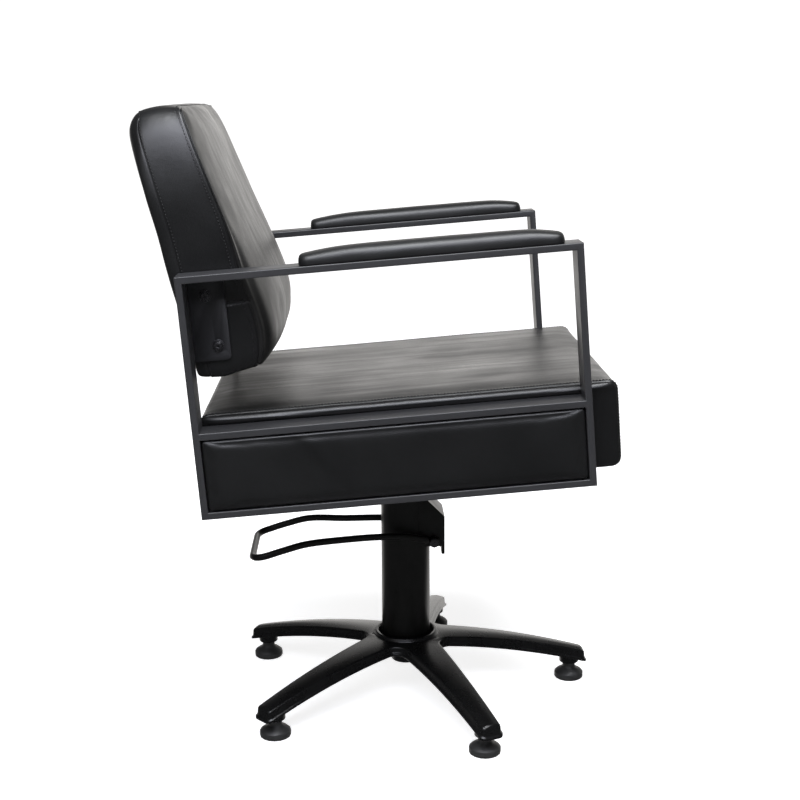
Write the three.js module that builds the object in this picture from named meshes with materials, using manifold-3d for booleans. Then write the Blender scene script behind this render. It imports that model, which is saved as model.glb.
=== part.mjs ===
// A hydraulic styling chair: a five-legged star base on glides, a ram post that turns in its hub, a pump column that
// slides up the post, a foot lever round the column, and an upholstered seat and back between two flat-bar side frames.
// Millimetres, +X the way the sitter faces, +Y the sitter's left, +Z up, floor at z = 0, chair at its lowest height.
import * as THREE from "three";
import { mergeVertices } from "three/addons/utils/BufferGeometryUtils.js";
import Module from "manifold-3d";

const wasm = await Module();
wasm.setup();

// ---- driving dimensions ----
const GAP = 0.3; // between pieces that touch
const PEDESTAL_X = 38.6; // pedestal axis, from the middle of the chair's length

// Star base
const LEG_ANGLES = [149.2, 221.2, 293.2, 5.2, 77.2]; // degrees from +X
const LEG_REACH = 302;
const GLIDE_CIRCLE = 280;
const LEG_TOP = { hub: 95.3, drop: 49, power: 1.91 };
const LEG_BOTTOM = { hub: 82.8, drop: 50, power: 1.76 };
const LEG_HALF_WIDTH = { hub: 37.4, tip: 16, waist: 11 };
const LEG_FILLET = { radius: 22, centre: 89 }; // the round corner between two legs, its centre out from the axis
const LEG_STATIONS = [105, 145, 185, 225, 265, LEG_REACH]; // beyond the fillet, out from the axis
const LEG_EDGE = { round: 3, crown: 1.2 }; // rounded top edges, and the middle's rise above them
const LEG_LIP = { out: 3.6, height: 3.5, draft: 0.6, web: 5.5 };
const HUB = {
  rimRadius: 52, rimTop: 102, rimFoot: 92.5, neckRadius: 50, neckFoot: 82, recessRadius: 46, recessFloor: 86,
  bossRadius: 25, bossTop: 70, bottom: 50, edge: 1.5,
};
const SPINDLE_RADIUS = 13.5;
const NUT = { pocketRadius: 20, pocketTop: 61, acrossFlats: 30, height: 8.5, studRadius: 9.7 };
const GLIDE = { radius: 24.5, rim: 12, neckRadius: 10.5, height: 28, stemRadius: 5.5, socketRadius: 18.5 };
const GLIDE_STEM = { bottom: 8, top: 39, socketTop: 41 };

// Pump column
const RAM = { radius: 25, flangeRadius: 31, flangeTop: 94, top: 255 };
const WASHER_THICKNESS = 1.7;
const TUBE = { radius: 40, wall: 3, bottom: 96, top: 410 };
const GLAND_TOP = 116;
const PUMP_BLOCK = { bottom: 270, top: 385 };
const BRACKET = {
  halfWidth: 35, side: 4, front: 5, rear: 15, x: 62.8, top: 345, foot: 243, sideFoot: 256, chamfer: 38.5,
};

// Foot lever: a bent rod, symmetric about the chair's middle plane
const PIVOT = { x: 45.5, z: 265 };
const ROD_RADIUS = 5.1;
const LEVER_SIDE = [
  [38, 42, 267.6], [20, 50, 274.4], [-2, 53.5, 278.6], [-45, 54.5, 279.6], [-100, 60, 277.8],
  [-158, 69.3, 274.6], [-196, 71.5, 265.2], [-232, 71, 255], [-246, 66.5, 252], [-250, 55, 251.2],
];
const EYE = { radius: 8.5, inner: 35.5, outer: 42.5 };
const SHAFT = { radius: 5, headRadius: 7.5, end: 47 };
const CAM = { face: 1.5, thickness: 7, reach: 24, halfWidth: 8 };
const PLUNGER = { radius: 5, z: 284, tail: 5 };

// Seat and side frames, in a frame tilted back by TILT: u forward, v to the left, w up
const TILT = 4.33; // degrees
const SEAT_ORIGIN = { x: -299.8, z: 385.9 }; // bottom rear corner of the side frames, x from the pedestal axis
const FRAME = { length: 567, height: 349, bar: 10, width: 50, midBar: 116, outer: 300, edge: 0.8 };
const FRAME_INNER = FRAME.outer - FRAME.width;
const AXIS_U = 300.7; // where the pedestal axis meets the seat's underside
const PLATE = { u: 170, v: 160, bottom: -4.3, top: 1.7 };
const RAIL = { offset: 54, width: 50, bottom: 2, top: 12 };
const BOLT = { v: 60, radius: 4, headRadius: 7.5, headHeight: 5.3, top: 26 };
const SEAT = { rear: 10.3, front: 610, bottom: 12.3, top: 142, halfWidth: FRAME_INNER - GAP, round: 14 };
const SEAT_BOARD = { thickness: 15, inset: 10 };
const PANEL = { board: 11, round: 7, boardInset: 4, outerInset: 1.5 };

// Arm pads
const ARM = { rear: 170, front: 543.5, height: 22, base: 6, inset: 7, round: 18, crown: 9, screws: [225, 490] };
const ARM_SCREW = { radius: 2, headRadius: 4.5, countersink: 2.5, pilot: 0.4, clearance: 0.6 };

// Backrest, its wooden board and its brackets
const BACK_HALF_WIDTH = 245;
const BACK_BOLTS = [[34.3, 313.5], [45.5, 241.3]]; // u, w
const BACK_BOARD = { thickness: 18, halfWidth: 232, bottom: 214, top: 515 };
const BACK_BRACKET = { u0: 1, u1: 62.5, w0: 220, w1: 338.7, round: 7, thickness: 4.4 };
const BACK_BOLT = {
  radius: 4, headRadius: 7, headHeight: 4.2, headRim: 1.5, socketRadius: 2.6, washerRadius: 9, washer: 1.5, reach: 36,
};

// ---- colours and finishes ----
const finish = (color, roughness, metalness) => new THREE.MeshStandardMaterial({ color, roughness, metalness });
const POWDER_COAT = finish(0x2b2b2d, 0.5, 0.4);
const BLACK_CASTING = finish(0x0c0c0c, 0.35, 0.3);
const STEEL = finish(0x8f9296, 0.35, 0.9);
const BLACK_BOLT = finish(0x101012, 0.4, 0.8);
const PLASTIC = finish(0x0a0a0a, 0.5, 0);
const LEATHER = finish(0x17181a, 0.45, 0);
const PLYWOOD = finish(0xb08a5a, 0.8, 0);

// ---- geometry helpers ----
const radians = THREE.MathUtils.degToRad;

function solid(geometry) {
  const bare = geometry.clone();
  bare.deleteAttribute("normal");
  if (bare.getAttribute("uv")) bare.deleteAttribute("uv");
  const merged = mergeVertices(bare, 1e-3);
  const made = new wasm.Manifold(new wasm.Mesh({
    numProp: 3,
    vertProperties: new Float32Array(merged.getAttribute("position").array),
    triVerts: new Uint32Array(merged.index.array),
  }));
  if (made.volume() < 0) throw new Error("inside out");
  return made;
}

function geometryOf(body) {
  const mesh = body.getMesh();
  const points = new Float32Array((mesh.vertProperties.length / mesh.numProp) * 3);
  for (let i = 0; i < points.length / 3; i++) {
    for (let k = 0; k < 3; k++) points[3 * i + k] = mesh.vertProperties[mesh.numProp * i + k];
  }
  const indexed = new THREE.BufferGeometry().setAttribute("position", new THREE.BufferAttribute(points, 3));
  indexed.setIndex([...mesh.triVerts]);
  const flat = indexed.toNonIndexed();
  flat.computeVertexNormals();
  return flat;
}

// The first solid joined to the others, or cut by them.
const join = (first, ...others) => others.reduce((body, other) => body.add(other), first);
const cut = (first, ...others) => others.reduce((body, other) => body.subtract(other), first);

// A box from its lowest to its highest corner.
function box(x0, x1, y0, y1, z0, z1) {
  return new THREE.BoxGeometry(x1 - x0, y1 - y0, z1 - z0).translate((x0 + x1) / 2, (y0 + y1) / 2, (z0 + z1) / 2);
}

// A solid of revolution about Z from points [radius, z] that run upwards along its outside.
function turned(profile, segments = 20) {
  return new THREE.LatheGeometry(profile.map(([r, z]) => new THREE.Vector2(r, z)), segments).rotateX(Math.PI / 2);
}

const disc = (radius, z0, z1, segments) => turned([[0, z0], [radius, z0], [radius, z1], [0, z1]], segments);

const ring = (inner, outer, z0, z1, segments) =>
  turned([[inner, z0], [outer, z0], [outer, z1], [inner, z1], [inner, z0]], segments);

// A rod along Y, between y0 and y1.
const crossRod = (radius, x, z, y0, y1, segments = 14) =>
  disc(radius, y0, y1, segments).rotateX(-Math.PI / 2).translate(x, 0, z);

// A shape drawn in the XZ plane, extruded along Y between y0 and y1, with rounded edges where edge is given.
function extrudedAcross(shape, y0, y1, edge = 0, segments = 2) {
  const bevel = { bevelEnabled: edge > 0, bevelSize: edge, bevelThickness: edge, bevelOffset: -edge };
  const geometry = new THREE.ExtrudeGeometry(shape, {
    depth: y1 - y0 - 2 * edge, curveSegments: 4, bevelSegments: segments, ...bevel,
  });
  return geometry.translate(0, 0, edge - (y1 - y0)).rotateX(Math.PI / 2).translate(0, y0, 0);
}

function outline(points) {
  return new THREE.Shape(points.map(([x, z]) => new THREE.Vector2(x, z)));
}

function roundedRectangle(x0, x1, z0, z1, r) {
  const shape = new THREE.Shape();
  shape.moveTo(x0 + r, z0).lineTo(x1 - r, z0).absarc(x1 - r, z0 + r, r, -Math.PI / 2, 0);
  shape.lineTo(x1, z1 - r).absarc(x1 - r, z1 - r, r, 0, Math.PI / 2);
  shape.lineTo(x0 + r, z1).absarc(x0 + r, z1 - r, r, Math.PI / 2, Math.PI);
  shape.lineTo(x0, z0 + r).absarc(x0 + r, z0 + r, r, Math.PI, 1.5 * Math.PI);
  return shape;
}

// A skin stretched over rings that all have the same number of points, closed by a fan at each end.
function lofted(rings) {
  const count = rings[0].length;
  const faces = [];
  for (let i = 0; i + 1 < rings.length; i++) {
    for (let k = 0; k < count; k++) {
      const a = i * count + k;
      const b = i * count + ((k + 1) % count);
      faces.push(a, b, b + count, a, b + count, a + count);
    }
  }
  const last = (rings.length - 1) * count;
  for (let k = 1; k + 1 < count; k++) faces.push(0, k + 1, k, last, last + k, last + k + 1);
  const geometry = new THREE.BufferGeometry();
  geometry.setAttribute("position", new THREE.Float32BufferAttribute(rings.flat(2), 3));
  geometry.setIndex(faces);
  return geometry;
}

const chair = new THREE.Group();
const pedestal = new THREE.Group();
pedestal.position.x = PEDESTAL_X;
const seating = new THREE.Group();
seating.position.set(PEDESTAL_X + SEAT_ORIGIN.x, 0, SEAT_ORIGIN.z);
seating.rotation.y = -radians(TILT);
chair.add(pedestal, seating);

function piece(group, name, geometry, material) {
  const mesh = new THREE.Mesh(geometry, material);
  mesh.name = name;
  group.add(mesh);
  return mesh;
}

// ---- star base ----
const along = (curve, s) => curve.hub - curve.drop * s ** curve.power;

// Half a leg's width at a distance from the axis: up to the line midway to the next leg, round the fillet, then out.
const sector = Math.PI / LEG_ANGLES.length;
const filletX = LEG_FILLET.centre * Math.cos(sector);
const filletY = LEG_FILLET.centre * Math.sin(sector);
const valleyX = (LEG_FILLET.centre - LEG_FILLET.radius) * Math.cos(sector);

function legHalfWidth(x) {
  if (x < valleyX) return x * Math.tan(sector);
  if (x < filletX - 2) return filletY - Math.sqrt(LEG_FILLET.radius ** 2 - (x - filletX) ** 2);
  const { hub, tip, waist } = LEG_HALF_WIDTH;
  const s = x / LEG_REACH;
  return hub + (tip - hub) * s - waist * s * (1 - s);
}

function leg() {
  const { round, crown } = LEG_EDGE;
  const { out, height, draft, web } = LEG_LIP;
  const nearHub = [30, valleyX, valleyX + 4, valleyX + 9, filletX - 2];
  const rings = [];
  for (const x of [...nearHub, ...LEG_STATIONS]) {
    const s = x / LEG_REACH;
    const top = along(LEG_TOP, s);
    const bottom = along(LEG_BOTTOM, s);
    const half = legHalfWidth(x);
    const side = [
      [half + out, bottom], [half + out, bottom + height], [half + draft, bottom + web],
      [half, top - round], [half - round, top],
    ];
    const left = side.map(([y, z]) => [x, y, z]);
    const right = side.map(([y, z]) => [x, -y, z]).reverse();
    rings.push([...left, [x, 0, top + crown], ...right]);
  }
  return solid(lofted(rings));
}

function glideSocket() {
  return solid(disc(GLIDE.socketRadius, GLIDE.height + GAP, GLIDE_STEM.socketTop, 16).translate(GLIDE_CIRCLE, 0, 0));
}

function starBase() {
  const { rimRadius, rimTop, rimFoot, neckRadius, neckFoot, recessRadius, recessFloor, bossRadius, bossTop } = HUB;
  const { bottom, edge } = HUB;
  const hub = solid(turned([
    [0, bottom], [bossRadius - edge, bottom], [bossRadius, bottom + edge], [bossRadius, bossTop],
    [neckRadius - 6, neckFoot - 6], [neckRadius, neckFoot], [neckRadius, rimFoot - edge], [rimRadius, rimFoot],
    [rimRadius, rimTop - 1], [rimRadius - 1, rimTop], [0, rimTop],
  ], 30));
  const legs = LEG_ANGLES.map((angle) => join(leg(), glideSocket()).rotate([0, 0, angle]));
  // The legs' tops swell above the tip: the bore stops inside them.
  const stemBore = () => disc(GLIDE.stemRadius + GAP, 20, GLIDE_STEM.top + 0.5, 12).translate(GLIDE_CIRCLE, 0, 0);
  const bores = LEG_ANGLES.map((angle) => solid(stemBore()).rotate([0, 0, angle]));
  const recess = solid(disc(recessRadius, recessFloor, rimTop + 10, 30));
  const spindleBore = solid(disc(SPINDLE_RADIUS + 0.5, bottom - 10, recessFloor + 10));
  const nutPocket = solid(disc(NUT.pocketRadius, bottom - 10, NUT.pocketTop));
  return cut(join(hub, ...legs), recess, spindleBore, nutPocket, ...bores);
}

piece(pedestal, "star_base", geometryOf(starBase()), BLACK_CASTING);

// A bell glide: a broad foot under a waisted neck, on a steel stem pushed up into the leg.
function glideFoot() {
  const { radius, rim, neckRadius, height, stemRadius } = GLIDE;
  const neck = new THREE.QuadraticBezierCurve(new THREE.Vector2(radius - 6, rim + 3),
    new THREE.Vector2(neckRadius - 2, rim + 5), new THREE.Vector2(neckRadius, height - 4));
  const profile = [[0, 0], [radius - 2, 0], [radius, 2], [radius, rim - 2], [radius - 2, rim]];
  neck.getPoints(3).forEach((p) => profile.push([p.x, p.y]));
  profile.push([neckRadius + 2.5, height], [0, height]);
  return cut(solid(turned(profile, 16)), solid(disc(stemRadius + GAP, GLIDE_STEM.bottom, height + 5, 12)));
}

const glideStem = () => disc(GLIDE.stemRadius, GLIDE_STEM.bottom + GAP, GLIDE_STEM.top, 12);

LEG_ANGLES.forEach((angle, i) => {
  const x = GLIDE_CIRCLE * Math.cos(radians(angle));
  const y = GLIDE_CIRCLE * Math.sin(radians(angle));
  piece(pedestal, `glide_foot_${i + 1}`, geometryOf(glideFoot()), PLASTIC).position.set(x, y, 0);
  piece(pedestal, `glide_stem_${i + 1}`, glideStem(), STEEL).position.set(x, y, 0);
});

// ---- ram post, turning in the hub ----
const washerFoot = HUB.recessFloor + GAP;
const washerTop = washerFoot + WASHER_THICKNESS;
const studFoot = HUB.bottom + 2;
const studTop = NUT.pocketTop + 2;
piece(pedestal, "thrust_washer", ring(SPINDLE_RADIUS + 1, RAM.flangeRadius - 1, washerFoot, washerTop), STEEL);
piece(pedestal, "ram_post", turned([
  [0, studFoot], [NUT.studRadius, studFoot], [NUT.studRadius, studTop], [SPINDLE_RADIUS, studTop],
  [SPINDLE_RADIUS, washerTop + GAP], [RAM.flangeRadius, washerTop + GAP], [RAM.flangeRadius, RAM.flangeTop],
  [RAM.radius, RAM.flangeTop], [RAM.radius, RAM.top], [0, RAM.top],
], 24), STEEL);

function hexNut() {
  const across = NUT.acrossFlats / Math.sqrt(3);
  const top = NUT.pocketTop - GAP;
  const bore = disc(NUT.studRadius + GAP, top - NUT.height - 10, top + 10, 14);
  return cut(solid(disc(across, top - NUT.height, top, 6)), solid(bore));
}
piece(pedestal, "ram_nut", geometryOf(hexNut()), STEEL);

// ---- pump column, sliding on the ram post ----
// A slab parallel to the tilted seat: everything above the mounting plate's underside.
function aboveSeatPlane() {
  const slab = box(0, FRAME.length, -100, 100, PLATE.bottom - GAP, 200);
  return solid(slab.rotateY(-radians(TILT)).translate(SEAT_ORIGIN.x, 0, SEAT_ORIGIN.z));
}

// A rod forward along X at the plunger's height.
const plungerRod = (radius, x0, x1) => disc(radius, x0, x1, 12).rotateY(Math.PI / 2).translate(0, 0, PLUNGER.z);

function columnTube() {
  const wall = solid(ring(TUBE.radius - TUBE.wall, TUBE.radius, TUBE.bottom, TUBE.top, 36));
  return cut(wall, aboveSeatPlane(), solid(plungerRod(PLUNGER.radius + 2, 0, TUBE.radius + 20)));
}

const innerRadius = TUBE.radius - TUBE.wall - GAP;

function pumpBlock() {
  const bore = solid(plungerRod(PLUNGER.radius + GAP, PLUNGER.tail - 10, TUBE.radius + 20));
  return cut(solid(disc(innerRadius, PUMP_BLOCK.bottom, PUMP_BLOCK.top, 24)), bore);
}

piece(pedestal, "column_tube", geometryOf(columnTube()), BLACK_CASTING);
piece(pedestal, "gland_ring", ring(RAM.radius + GAP, innerRadius, TUBE.bottom, GLAND_TOP, 24), STEEL);
piece(pedestal, "pressure_cylinder",
  ring(RAM.radius + 1, RAM.flangeRadius, GLAND_TOP + GAP, PUMP_BLOCK.bottom - GAP, 24), STEEL);
piece(pedestal, "pump_block", geometryOf(pumpBlock()), STEEL);

// The bracket: two side plates, a front plate that hangs lower, and a chamfered roof, open below and behind.
function leverBracket() {
  const { halfWidth, side, front, rear, x, top, foot, sideFoot, chamfer } = BRACKET;
  const profile = (inset, frontInset, down) => outline([
    [rear, top - inset], [x - chamfer - inset * 0.4, top - inset], [x - frontInset, top - chamfer - inset * 0.4],
    [x - frontInset, down], [rear, down],
  ]);
  const shell = solid(extrudedAcross(profile(0, 0, foot), -halfWidth, halfWidth));
  const inside = solid(extrudedAcross(profile(side, front, foot - 20), side - halfWidth, halfWidth - side));
  const belowSides = solid(box(0, x - front, -60, 60, foot - 10, sideFoot));
  const column = solid(disc(TUBE.radius + GAP, foot - 10, top + 10, 36));
  const pivotBore = solid(crossRod(SHAFT.radius + 0.5, PIVOT.x, PIVOT.z, -60, 60));
  return cut(shell, inside, belowSides, column, pivotBore);
}
piece(pedestal, "lever_bracket", geometryOf(leverBracket()), BLACK_CASTING);

// ---- foot lever and what it drives ----
function pumpLever() {
  const right = LEVER_SIDE.map(([x, y, z]) => new THREE.Vector3(x, -y, z));
  const left = LEVER_SIDE.map(([x, y, z]) => new THREE.Vector3(x, y, z)).reverse();
  const path = new THREE.CatmullRomCurve3([...right, ...left], false, "centripetal");
  const section = new THREE.Shape().absarc(0, 0, ROD_RADIUS, 0, 2 * Math.PI);
  const sweep = { steps: 44, extrudePath: path, curveSegments: 4, bevelEnabled: false };
  const rod = new THREE.ExtrudeGeometry(section, sweep);
  const eyes = [-1, 1].map((side) => {
    const [y0, y1] = [side * EYE.inner, side * EYE.outer].sort((a, b) => a - b);
    return solid(crossRod(EYE.radius, PIVOT.x, PIVOT.z, y0, y1));
  });
  const bore = solid(crossRod(SHAFT.radius + GAP, PIVOT.x, PIVOT.z, -60, 60));
  const headSeats = [-60, EYE.outer].map((y) =>
    solid(crossRod(SHAFT.headRadius + 0.5, PIVOT.x, PIVOT.z, y, y + 60 - EYE.outer)));
  const bracketSide = solid(box(30, 70, -EYE.inner, EYE.inner, 230, 300));
  return cut(join(solid(rod), ...eyes), bore, bracketSide, ...headSeats);
}
piece(pedestal, "pump_lever", geometryOf(pumpLever()), BLACK_CASTING);

function leverShaft() {
  const rod = solid(crossRod(SHAFT.radius, PIVOT.x, PIVOT.z, -SHAFT.end + 1, SHAFT.end - 1));
  const heads = [-1, 1].map((side) => {
    const [y0, y1] = [side * (EYE.outer + GAP), side * SHAFT.end].sort((a, b) => a - b);
    return solid(crossRod(SHAFT.headRadius, PIVOT.x, PIVOT.z, y0, y1));
  });
  const arm = box(PIVOT.x + CAM.face, PIVOT.x + CAM.face + CAM.thickness, -CAM.halfWidth, CAM.halfWidth,
    PIVOT.z, PIVOT.z + CAM.reach);
  return join(rod, ...heads, solid(arm));
}
piece(pedestal, "lever_shaft", geometryOf(leverShaft()), BLACK_BOLT);

// The plunger's round nose rests against the shaft's cam arm.
function plunger() {
  const nose = PIVOT.x + CAM.face - GAP;
  const profile = [[0, PLUNGER.tail], [PLUNGER.radius, PLUNGER.tail], [PLUNGER.radius, nose - PLUNGER.radius]];
  for (let i = 1; i <= 3; i++) {
    const a = (i * Math.PI) / 6;
    profile.push([i === 3 ? 0 : PLUNGER.radius * Math.cos(a), nose - PLUNGER.radius * (1 - Math.sin(a))]);
  }
  return turned(profile, 12).rotateY(Math.PI / 2).translate(0, 0, PLUNGER.z);
}
piece(pedestal, "pump_plunger", plunger(), STEEL);

// ---- mounting plate, cross rails and seat board ----
const boltPlaces = [-1, 1].flatMap((a) => [-1, 1].map((b) => [AXIS_U + a * RAIL.offset, b * BOLT.v]));
const boltHoles = (radius) => boltPlaces.map(([u, v]) => solid(disc(radius, -20, BOLT.top + 1, 12).translate(u, v, 0)));

function mountingPlate() {
  const blank = box(AXIS_U - PLATE.u / 2, AXIS_U + PLATE.u / 2, -PLATE.v / 2, PLATE.v / 2, PLATE.bottom, PLATE.top);
  return cut(solid(blank), ...boltHoles(BOLT.radius + 0.4));
}
piece(seating, "mounting_plate", geometryOf(mountingPlate()), POWDER_COAT);

for (const [name, side] of [["cross_rail_rear", -1], ["cross_rail_front", 1]]) {
  const middle = AXIS_U + side * RAIL.offset;
  const reach = FRAME_INNER - GAP;
  const blank = box(middle - RAIL.width / 2, middle + RAIL.width / 2, -reach, reach, RAIL.bottom, RAIL.top);
  piece(seating, name, geometryOf(cut(solid(blank), ...boltHoles(BOLT.radius + 0.4))), POWDER_COAT);
}

const boardTop = SEAT.bottom + GAP + SEAT_BOARD.thickness;
function seatBoard() {
  const edge = SEAT_BOARD.inset;
  const blank = box(SEAT.rear + edge, SEAT.front - edge, edge - SEAT.halfWidth, SEAT.halfWidth - edge,
    SEAT.bottom + GAP, boardTop);
  return cut(solid(blank), ...boltHoles(BOLT.radius + GAP));
}
piece(seating, "seat_board", geometryOf(seatBoard()), PLYWOOD);

boltPlaces.forEach(([u, v], i) => {
  const seatOfHead = PLATE.bottom - GAP;
  const head = solid(disc(BOLT.headRadius, seatOfHead - BOLT.headHeight, seatOfHead, 6));
  const shank = solid(disc(BOLT.radius, seatOfHead - 1, BOLT.top, 12));
  piece(seating, `mounting_bolt_${i + 1}`, geometryOf(join(head, shank)), BLACK_BOLT).position.set(u, v, 0);
});

function seatCushion() {
  const { rear, front, bottom, top, halfWidth, round } = SEAT;
  const shape = roundedRectangle(rear, front, bottom, top, round / 2);
  const block = solid(extrudedAcross(shape, -halfWidth, halfWidth, 4));
  const inset = 22;
  const crownShape = roundedRectangle(rear + inset, front - inset, top - 20, top + 3, 5);
  const crown = extrudedAcross(crownShape, inset - halfWidth, halfWidth - inset, 4);
  const edge = SEAT_BOARD.inset - GAP;
  const pocket = box(rear + edge, front - edge, edge - halfWidth, halfWidth - edge, bottom - 5, boardTop + GAP);
  return cut(join(block, solid(crown)), solid(pocket));
}
piece(seating, "seat_cushion", geometryOf(seatCushion()), LEATHER);

// ---- side frames, their panels and the arm pads ----
function sideFrame(y0) {
  const { length, height, bar, midBar, width, edge } = FRAME;
  const shape = outline([[0, 0], [length, 0], [length, height], [0, height]]);
  const window = (w0, w1) => new THREE.Path([[bar, w0], [bar, w1], [length - bar, w1], [length - bar, w0]]
    .map(([u, w]) => new THREE.Vector2(u, w)));
  shape.holes.push(window(bar, midBar), window(midBar + bar, height - bar));
  const { radius, headRadius, countersink, clearance } = ARM_SCREW;
  const under = height - bar;
  const hole = () => solid(turned([
    [0, under - bar], [headRadius + clearance, under - bar], [headRadius + clearance, under],
    [radius + clearance, under + countersink], [radius + clearance, height + bar], [0, height + bar],
  ], 10));
  const screwHoles = ARM.screws.map((u) => hole().translate([u, y0 + width / 2, 0]));
  return cut(solid(extrudedAcross(shape, y0, y0 + width, edge, 1)), ...screwHoles);
}

function panelSkin(y0, y1) {
  const { length, bar, midBar } = FRAME;
  const shape = roundedRectangle(bar + GAP, length - bar - GAP, bar + GAP, midBar - GAP, PANEL.round);
  return extrudedAcross(shape, y0, y1, PANEL.round - 1, 1);
}

function armPad(y) {
  const { rear, front, height, base, inset, round, crown } = ARM;
  const half = FRAME.width / 2;
  const w0 = FRAME.height + GAP;
  const plan = roundedRectangle(rear, front, -half, half, round);
  const straight = height - crown;
  const body = new THREE.ExtrudeGeometry(plan, {
    depth: straight, curveSegments: 3, bevelEnabled: true, bevelSize: crown, bevelThickness: crown, bevelOffset: -crown,
    bevelSegments: 2,
  });
  const below = solid(box(rear - 1, front + 1, -half - 1, half + 1, -crown - 1, 0));
  const top = cut(solid(body), below).translate([0, 0, w0]);
  const pocket = box(rear + inset, front - inset, inset - half, half - inset, w0 - 1, w0 + base + 2 * GAP);
  return geometryOf(cut(top, solid(pocket)).translate([0, y, 0]));
}

function armPadBase(y) {
  const { rear, front, base, inset } = ARM;
  const edge = inset + GAP;
  const half = FRAME.width / 2 - edge;
  const w0 = FRAME.height + GAP;
  const pilot = () => solid(disc(ARM_SCREW.radius + ARM_SCREW.pilot, w0 - 1, w0 + base - 1, 10));
  const holes = ARM.screws.map((u) => pilot().translate([u, y, 0]));
  return geometryOf(cut(solid(box(rear + edge, front - edge, y - half, y + half, w0, w0 + base)), ...holes));
}

function armScrew() {
  const { radius, headRadius, countersink } = ARM_SCREW;
  const under = FRAME.height - FRAME.bar;
  const tip = FRAME.height + ARM.base - 2;
  return turned([
    [0, under], [headRadius, under], [radius, under + countersink], [radius, tip], [0, tip],
  ], 10);
}

for (const [hand, side] of [["right", -1], ["left", 1]]) {
  const frameStart = side < 0 ? -FRAME.outer : FRAME_INNER;
  const middle = frameStart + FRAME.width / 2;
  piece(seating, `side_frame_${hand}`, geometryOf(sideFrame(frameStart)), POWDER_COAT);

  const boardInner = FRAME_INNER + GAP;
  const boardOuter = boardInner + PANEL.board;
  const span = (a, b) => (side < 0 ? [-b, -a] : [a, b]);
  const [b0, b1] = span(boardInner, boardOuter);
  const { length, bar, midBar } = FRAME;
  const inset = bar + PANEL.boardInset;
  const board = box(inset, length - inset, b0, b1, inset, midBar - PANEL.boardInset);
  piece(seating, `side_panel_board_${hand}`, board, PLYWOOD);
  piece(seating, `side_panel_${hand}`, panelSkin(...span(boardOuter + GAP, FRAME.outer - PANEL.outerInset)), LEATHER);

  piece(seating, `arm_pad_base_${hand}`, armPadBase(middle), PLYWOOD);
  piece(seating, `arm_pad_${hand}`, armPad(middle), LEATHER);
  ARM.screws.forEach((u, i) => {
    piece(seating, `arm_pad_screw_${hand}_${i + 1}`, armScrew(), BLACK_BOLT).position.set(u, middle, 0);
  });
}

// ---- backrest ----
const [upperBolt, lowerBolt] = BACK_BOLTS;
const backLean = (upperBolt[0] - lowerBolt[0]) / (upperBolt[1] - lowerBolt[1]);
const boardMiddle = (w) => lowerBolt[0] + backLean * (w - lowerBolt[1]);

function backBoardShape(grow) {
  const { thickness, bottom, top } = BACK_BOARD;
  const half = thickness / 2 + grow;
  const [w0, w1] = [bottom - grow, top + grow];
  return outline([[boardMiddle(w0) - half, w0], [boardMiddle(w0) + half, w0], [boardMiddle(w1) + half, w1],
    [boardMiddle(w1) - half, w1]]);
}

const backBoltRod = (radius, y0, y1) => BACK_BOLTS.flatMap(([u, w]) => [
  solid(crossRod(radius, u, w, y0, y1, 12)), solid(crossRod(radius, u, w, -y1, -y0, 12)),
]);

// The side profile: a lower lumbar bulge, a front that leans back to a thinner top, and a rear that follows it.
function backProfile(forward) {
  const shape = new THREE.Shape();
  shape.moveTo(16, 198).quadraticCurveTo(6, 202, 2, 240).lineTo(-12.5, 343);
  shape.quadraticCurveTo(-20, 400, -43.5, 520).quadraticCurveTo(-46, 562, -34, 571);
  shape.quadraticCurveTo(-18, 583, 6, 583).quadraticCurveTo(20 + forward, 583, 26 + forward, 551);
  shape.bezierCurveTo(46 + forward, 484, 83 + forward, 352, 97 + forward, 297);
  shape.quadraticCurveTo(106 + forward, 255, 102 + forward, 228);
  shape.quadraticCurveTo(100, 206, 72, 204).lineTo(45, 197);
  return shape;
}

function backCushion() {
  const body = solid(extrudedAcross(backProfile(0), -BACK_HALF_WIDTH, BACK_HALF_WIDTH, 5));
  const front = solid(extrudedAcross(backProfile(20), 18 - BACK_HALF_WIDTH, BACK_HALF_WIDTH - 18, 6));
  const reach = BACK_BOARD.halfWidth + GAP;
  const pocket = solid(extrudedAcross(backBoardShape(GAP), -reach, reach));
  return cut(join(body, front), pocket, ...backBoltRod(BACK_BOLT.radius + 1, reach - 1, 260));
}

function backBoard() {
  const { halfWidth } = BACK_BOARD;
  const blank = solid(extrudedAcross(backBoardShape(0), -halfWidth, halfWidth));
  return cut(blank, ...backBoltRod(BACK_BOLT.radius + GAP, halfWidth - 25, halfWidth + 5));
}
piece(seating, "backrest_board", geometryOf(backBoard()), PLYWOOD);
piece(seating, "backrest_cushion", geometryOf(backCushion()), LEATHER);

function backBracket() {
  const { u0, u1, w0, w1, round } = BACK_BRACKET;
  const shape = new THREE.Shape();
  shape.moveTo(u0, w0).lineTo(u1 - round, w0).absarc(u1 - round, w0 + round, round, -Math.PI / 2, 0);
  shape.lineTo(u1, w1).lineTo(u0, w1);
  const holeRadius = BACK_BOLT.radius + 0.5;
  BACK_BOLTS.forEach(([u, w]) => shape.holes.push(new THREE.Path().absarc(u, w, holeRadius, 0, 2 * Math.PI)));
  return shape;
}

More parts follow.
